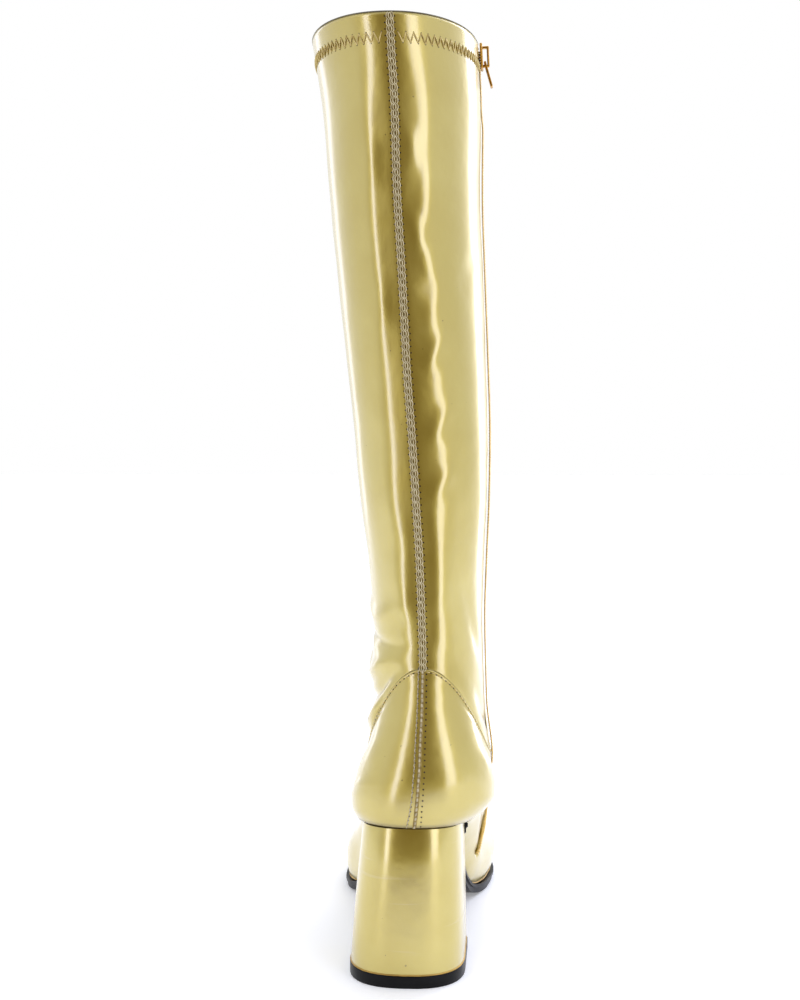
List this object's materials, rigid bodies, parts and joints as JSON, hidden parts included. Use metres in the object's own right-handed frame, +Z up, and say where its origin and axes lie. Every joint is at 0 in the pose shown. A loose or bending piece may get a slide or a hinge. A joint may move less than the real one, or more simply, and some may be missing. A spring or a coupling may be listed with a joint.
{
  "type": "go go boot",
  "caption": "Knee-high pull-on boot with a hollow gold patent upper, inside zip, raised back seam, block heel and thin black outsole.",
  "frame": {"origin": "on the floor, at the centre of the top lift's underside", "axes": "+Y towards the toe, +X towards the medial (zip) side, +Z up along the shaft"},
  "size_m": [0.0963, 0.2499, 0.4757],
  "materials": {
    "outsole": "black satin rubber",
    "top_lift": "black rubber",
    "heel_block": "gold patent covering",
    "insole": "plain tan sock lining",
    "foot_upper": "gold metallic patent",
    "shaft": "gold metallic patent",
    "back_seam": "pale thread over gold",
    "heel_seam": "pale thread over gold",
    "zip_tape": "woven tape",
    "zip_teeth": "gold coil",
    "zip_slider": "polished brass",
    "zip_pull_tab": "polished brass"
  },
  "bodies": {
    "boot": {"outsole": "outsole", "top_lift": "top_lift", "heel_block": "heel_block", "insole": "insole", "foot_upper": "foot_upper", "shaft": "shaft", "back_seam": "back_seam", "heel_seam": "heel_seam", "zip_tape": "zip_tape", "zip_teeth": "zip_teeth", "zip_slider": "zip_slider"},
    "pull_tab": {"zip_pull_tab": "zip_pull_tab"}
  },
  "joints": [
    {"name": "pull_tab_hinge", "type": "hinge", "parent": "boot", "child": "pull_tab", "pos_m": [0.03826, 0.03183, 0.46506], "axis": [-0.0017, -0.9998, 0.0177], "range_deg": [-18, 120]}
  ]
}
